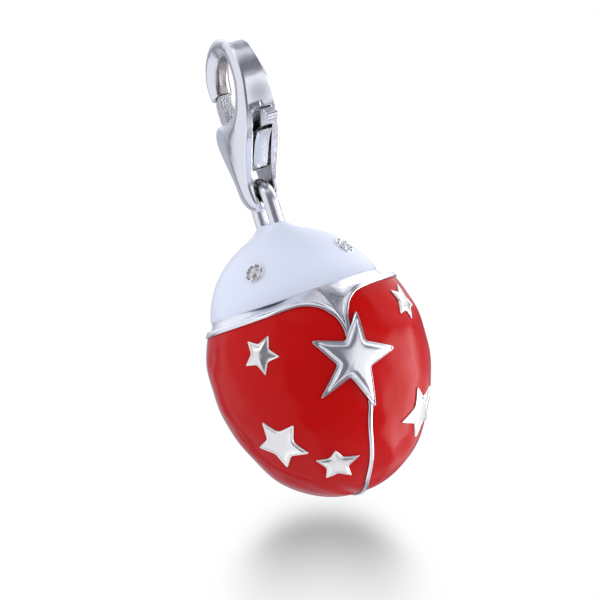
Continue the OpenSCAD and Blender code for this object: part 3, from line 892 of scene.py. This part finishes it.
# Stations from the hook's tip to the bottom: inner y, z, outer y, z, half widths inside, in the middle
# and outside
clasp_stations = np.array([
    [2.72, -2.75, 3.62, -2.75, 0.40, 0.70, 0.46], [2.66, -2.10, 3.76, -2.15, 0.40, 0.76, 0.50],
    [2.42, -1.45, 3.70, -1.30, 0.40, 0.78, 0.52], [1.90, -0.80, 3.20, -0.42, 0.40, 0.78, 0.52],
    [1.20, -0.36, 2.36, 0.42, 0.40, 0.77, 0.52], [0.50, -0.06, 1.16, 1.03, 0.40, 0.76, 0.52],
    [0.00, 0.00, -0.08, 1.28, 0.40, 0.76, 0.54], [-0.50, -0.14, -1.62, 1.08, 0.40, 0.79, 0.58],
    [-0.85, -0.45, -2.72, 0.42, 0.42, 0.86, 0.64], [-1.08, -1.05, -3.24, -0.60, 0.43, 0.94, 0.72],
    [-1.13, -1.95, -3.46, -1.70, 0.46, 1.04, 0.85], [-0.82, -2.90, -3.36, -2.85, 0.58, 1.22, 1.00],
    [-0.11, -3.61, -3.04, -3.90, 0.78, 1.38, 1.09], [0.85, -4.06, -2.50, -4.72, 0.92, 1.50, 1.18],
    [1.98, -4.19, -1.94, -5.42, 1.04, 1.56, 1.23], [2.85, -4.25, -1.40, -5.98, 1.11, 1.58, 1.25],
    [3.37, -4.62, -0.92, -6.48, 1.14, 1.58, 1.25], [3.58, -5.20, -0.48, -6.97, 1.15, 1.56, 1.23],
    [3.44, -6.00, -0.08, -7.44, 1.13, 1.51, 1.20], [3.18, -7.05, 0.30, -7.95, 1.06, 1.44, 1.15],
    [2.94, -8.00, 0.60, -8.42, 1.00, 1.34, 1.08], [2.94, -8.80, 0.70, -8.95, 0.96, 1.26, 1.04],
    [2.88, -9.40, 0.74, -9.45, 0.90, 1.14, 0.96], [2.46, -9.94, 0.93, -9.92, 0.74, 0.94, 0.80],
    [1.90, -10.20, 1.32, -10.20, 0.46, 0.58, 0.49],
])
crest = 0.62
edge_r = 0.13
slot_half = 0.67
bar_r = 0.53
bar_flare = 0.38
bar_z = -9.64
pin_y, pin_z = 2, -5
gate_r = 2.84
far = 15
# Outlines of y and z that are cut out of the blank: the slot, and the saw's mark above it
slot_side = np.array([[-far, -3.81], [far, -3.81], [far, -4.9], [2.75, -4.9], [2.85, -5.3], [2.6, -6],
                      [2.4, -6.8], [2.25, -7.55], [far, -7.55], [far, -far], [-far, -far]])
saw_mark = np.array([[-4, -3.2], [-3.28, -3.2], [-2.9, -3.9], [-4, -3.9]])


def clasp_blank():
    """The clasp before it is slit, between the inner and the outer line.
    At share t across, the half width falls from its middle value at the crest to its edge value by the 1.6th
    power of the distance, and each edge is rounded by a quarter circle of edge_r."""
    fine = even(clasp_stations, 170)
    inner, outer = fine[:, None, 0:2], fine[:, None, 2:4]
    t = (1 - np.cos(np.linspace(0, math.pi, 45))) / 2
    from_crest = np.where(t < crest, (crest - t) / crest, (t - crest) / (1 - crest))
    edge = np.where(t < crest, fine[:, 4:5], fine[:, 6:7])
    half = fine[:, 5:6] + (edge - fine[:, 5:6]) * from_crest ** 1.6
    thick = np.linalg.norm(fine[:, 2:4] - fine[:, 0:2], axis=1)[:, None]
    inside = np.clip(edge_r - np.minimum(t, 1 - t) * thick, 0, edge_r)
    half = half - edge_r + np.sqrt(edge_r ** 2 - inside ** 2)
    place = inner + t[None, :, None] * (outer - inner)
    right = np.concatenate([half[..., None], place], axis=-1)
    left = np.concatenate([-half[..., None], place], axis=-1)[:, ::-1]
    grid = np.concatenate([right, left], axis=1)
    ends = grid[[0, -1]].mean(axis=1, keepdims=True).repeat(grid.shape[1], axis=1)
    return np.concatenate([ends[:1], grid, ends[1:]])


def plate(name, outline, half):
    """A closed outline of y and z made a plate from x = -half to x = half, in millimetre units."""
    count = len(outline)
    across = np.array([-half, half])
    flat = np.stack([np.repeat(across, count), np.tile(outline[:, 0], 2), np.tile(outline[:, 1], 2)], axis=-1)
    index = np.arange(count)
    after = np.roll(index, -1)
    sides = np.stack([index, after, after + count, index + count], axis=-1).tolist()
    mesh = bpy.data.meshes.new(name)
    mesh.from_pydata(flat.tolist(), [], sides + [index[::-1].tolist(), (index + count).tolist()])
    work = bmesh.new()
    work.from_mesh(mesh)
    bmesh.ops.recalc_face_normals(work, faces=work.faces)
    bmesh.ops.triangulate(work, faces=[face for face in work.faces if len(face.verts) > 4])
    work.to_mesh(mesh)
    work.free()
    return added(name, mesh)


def turned_bar(name, radius, x, centre):
    """A bar of revolution along X with a radius at each x, about a centre of y and z, in millimetre units."""
    angle = np.linspace(0, 2 * math.pi, 64, endpoint=False)
    reach = np.concatenate([[0], radius, [0]])[:, None]
    place = np.concatenate([x[:1], x, x[-1:]])[:, None]
    y, z = centre[0] + reach * np.cos(angle), centre[1] + reach * np.sin(angle)
    return skin(name, np.stack(np.broadcast_arrays(place, y, z), axis=-1) / MM, weld=1e-4)


def worked_in(base):
    """A piece's mesh with its modifiers worked in. They are then removed from the piece."""
    bpy.context.view_layer.update()
    mesh = bpy.data.meshes.new_from_object(base.evaluated_get(bpy.context.evaluated_depsgraph_get()))
    base.modifiers.clear()
    return mesh


def combine(base, others, operation):
    """Joins pieces to the base, or cuts them out of it, and removes them. All are in millimetre units."""
    for other in others:
        cut = base.modifiers.new("cut", "BOOLEAN")
        cut.operation, cut.solver, cut.object = operation, "EXACT", other
        base.data = worked_in(base)
        bpy.data.objects.remove(other)


def tumble(base, voxel, passes):
    """Rounds all edges: an even remesh, then smoothing in which each point moves towards its neighbours'
    mean. Every other step moves back a little, so that the piece keeps its size. The result is in metres."""
    remesh = base.modifiers.new("even", "REMESH")
    remesh.mode, remesh.voxel_size = "VOXEL", voxel
    mesh = worked_in(base)
    points = np.empty(3 * len(mesh.vertices))
    mesh.vertices.foreach_get("co", points)
    points = points.reshape(-1, 3)
    edges = np.empty(2 * len(mesh.edges), int)
    mesh.edges.foreach_get("vertices", edges)
    first, second = edges.reshape(-1, 2).T
    count = len(points)
    degree = (np.bincount(first, minlength=count) + np.bincount(second, minlength=count))[:, None]
    for factor in [0.6, -0.55] * passes + [0.5, 0.5]:
        total = [np.bincount(first, part[second], count) + np.bincount(second, part[first], count)
                 for part in points.T]
        points = points + factor * (np.stack(total, axis=-1) / degree - points)
    mesh.vertices.foreach_set("co", (points * MM).ravel())
    mesh.update()
    mesh.shade_smooth()
    base.data = mesh
    return base


def add_shell(base, other):
    """Puts another closed piece's faces into the base's mesh, where the even remesh fuses the two."""
    work = bmesh.new()
    work.from_mesh(base.data)
    work.from_mesh(other.data)
    work.to_mesh(base.data)
    work.free()
    bpy.data.objects.remove(other)


blank = skin("clasp", clasp_blank() / MM, weld=1e-4)
bar_x = np.linspace(-0.95, 0.95, 39)
bar_radius = bar_r + bar_flare * (np.minimum(np.abs(bar_x), slot_half) / slot_half) ** 3
bar = turned_bar("bar", bar_radius, bar_x, (drop_y, bar_z))
combine(bar, [added("blank_copy", blank.data.copy())], "INTERSECT")
gate_arc = np.radians(np.linspace(20, 100, 30))
gate_round = np.stack([pin_y + gate_r * np.cos(gate_arc), pin_z + gate_r * np.sin(gate_arc)], axis=-1)
gate_room = np.concatenate([gate_round, [[2.2, -3.9], [4.6, -3.9]]])
cutters = (("slit", slot_side, slot_half), ("gate_room", gate_room, 3), ("saw_mark", saw_mark, 0.05))
combine(blank, [plate(*cutter) for cutter in cutters], "DIFFERENCE")
add_shell(blank, bar)
clasp = tumble(blank, 0.05, 2)

# Painted shade, with a little tarnish, dulls the inner face of the hook to a brownish tone where it faces the
# middle of the hook's opening, and painted shade greys the spine above the slot.
hook_middle = (0, 0.8 * MM, -2.1 * MM)
hook_reach = 2.9 * MM
clasp_silver = silver_finish("clasp_silver", 0.9, 0.1, (0.14, 0.22), 0.03)
tree = clasp_silver.node_tree
spot = add_node(tree, "ShaderNodeTexCoord").outputs
inward = vector_calc(tree, "MULTIPLY", vector_calc(tree, "SUBTRACT", hook_middle, spot["Object"]), (0, 1, 1))
facing = vector_calc(tree, "DOT_PRODUCT", vector_calc(tree, "NORMALIZE", inward), spot["Normal"])
within = calc(tree, "LESS_THAN", vector_calc(tree, "LENGTH", inward), hook_reach)
inside = calc(tree, "MULTIPLY", between(tree, facing, 0.55, 0.9, soft=True), within)
paint_shade_into(clasp_silver, inside, (0.50, 0.47, 0.455))
# Painted shade: a soft grey patch on the spine above the slot.
paint_shade_into(clasp_silver, soft_round_mask(tree, (0, -3.7, -2.9), 0.3, 1.3), (0.50, 0.52, 0.57))
settle(clasp, "clasp", "silver_clasp", clasp_silver, "clasp_body")

# The lever. It is stamped and filed from thick silver: the gate nose closes the hook, the plate turns on
# the pin, and the thumb tab with its round ridge stands out of the slot. The nose is left rough.
lever_half = 0.4
ridge_r = 0.26
ridge_place = (-4.35, -4.43)
lever_line = np.array([
    [2.72, -2.30], [3.20, -2.48], [3.70, -2.82], [3.76, -3.2], [3.76, -4.02], [3.62, -4.2], [3.1, -4.3],
    [2.62, -4.7], [2.35, -5.4], [2, -5.6], [0.6, -5.5], [-1.6, -5.2], [-2.6, -5.02], [-3.6, -4.99],
    [-4.25, -4.9], [-4.36, -4.75], [-4.38, -4.2], [-4.2, -3.97], [-3.5, -3.93], [-2.6, -3.92], [-1.5, -4.1],
    [0.6, -4.5], [2.1, -4.4], [2.66, -4.1], [2.70, -3.2]])
lever_blank = plate("lever", lever_line, lever_half)
ridge = turned_bar("ridge", np.full(2, ridge_r), np.array([-lever_half, lever_half]), ridge_place)
combine(lever_blank, [ridge], "UNION")
lever = tumble(lever_blank, 0.03, 2)
lever_silver, tree, place = start_finish("filed_silver")
behind = add_node(tree, "ShaderNodeSeparateXYZ", {0: place}).outputs[1]
nose = between(tree, behind, 2.2 * MM, 2.7 * MM)
file_marks = calc(tree, "MULTIPLY", noise(tree, place, 9 / MM, 2.0), nose)
tone = mixed(tree, nose, (0.93, 0.93, 0.96), (0.74, 0.74, 0.77))
end_finish(tree, Base_Color=tone, Metallic=1.0, Roughness=between(tree, nose, 0, 1, 0.16, 0.45),
           Normal=raised(tree, file_marks, 0.06))
settle(lever, "lever", "silver_clasp", lever_silver, "clasp_lever")

# The pin. A plain round silver wire is pressed through both cheeks of the clasp and filed flush.
pin_half = 0.95
pin_straight = 0.93
pin_r = 0.29
pin_end_r = 0.26
pin_x = np.concatenate([[-pin_half], np.linspace(-pin_straight, pin_straight, 9), [pin_half]])
pin_reach = np.concatenate([[pin_end_r], np.full(9, pin_r), [pin_end_r]])
pin = turned_bar("pin", pin_reach * MM, pin_x * MM, (pin_y * MM, pin_z * MM))
settle(pin, "clasp", "silver_clasp", clasp_silver, "clasp_pin")

# The spring. A strip of springy metal is folded at the bottom of the slot, with one leaf against the
# lever and the other against the rear wall.
spring_t = 0.16
spring_half = 0.52
spring_edge = 0.02
spring_line = np.array([[-2.35, -5.27], [-1.75, -5.58], [-1.2, -5.98], [-0.72, -6.42], [-0.27, -6.85],
                        [0.08, -7.2], [0.34, -7.42], [0.60, -7.52], [0.84, -7.42], [0.98, -7.18],
                        [1.35, -6.8], [1.75, -6.42], [2.1, -6.1]])
spring_path = np.concatenate([np.zeros((90, 1)), even(spring_line, 90)], axis=1)
spring_side = np.cross(np.gradient(spring_path, axis=0), np.array([1.0, 0, 0]))
strip_ring = np.array([[-1, -0.5], [-0.97, -1], [0, -1], [0.97, -1], [1, -0.5],
                       [1, 0.5], [0.97, 1], [0, 1], [-0.97, 1], [-1, 0.5]])
strip = strip_ring * np.array([spring_half, spring_t / 2])
spring = carried("spring", spring_path, spring_side, strip)
bend = spring.modifiers.new("edges", "BEVEL")
bend.width, bend.segments = spring_edge * MM, 2
spring_steel, tree, place = start_finish("spring_steel")
rolled = add_node(tree, "ShaderNodeMapping", {0: place, 3: (30 / MM, 1.5 / MM, 1.5 / MM)}).outputs[0]
streaks = noise(tree, rolled, 1.0, 2.0)
end_finish(tree, Base_Color=(0.86, 0.86, 0.88, 1), Metallic=1.0, Roughness=spread(tree, streaks, 0.2, 0.34),
           Normal=raised(tree, streaks, 0.004))
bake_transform(spring)
settle(spring, None, "spring_steel", spring_steel, "clasp_spring")
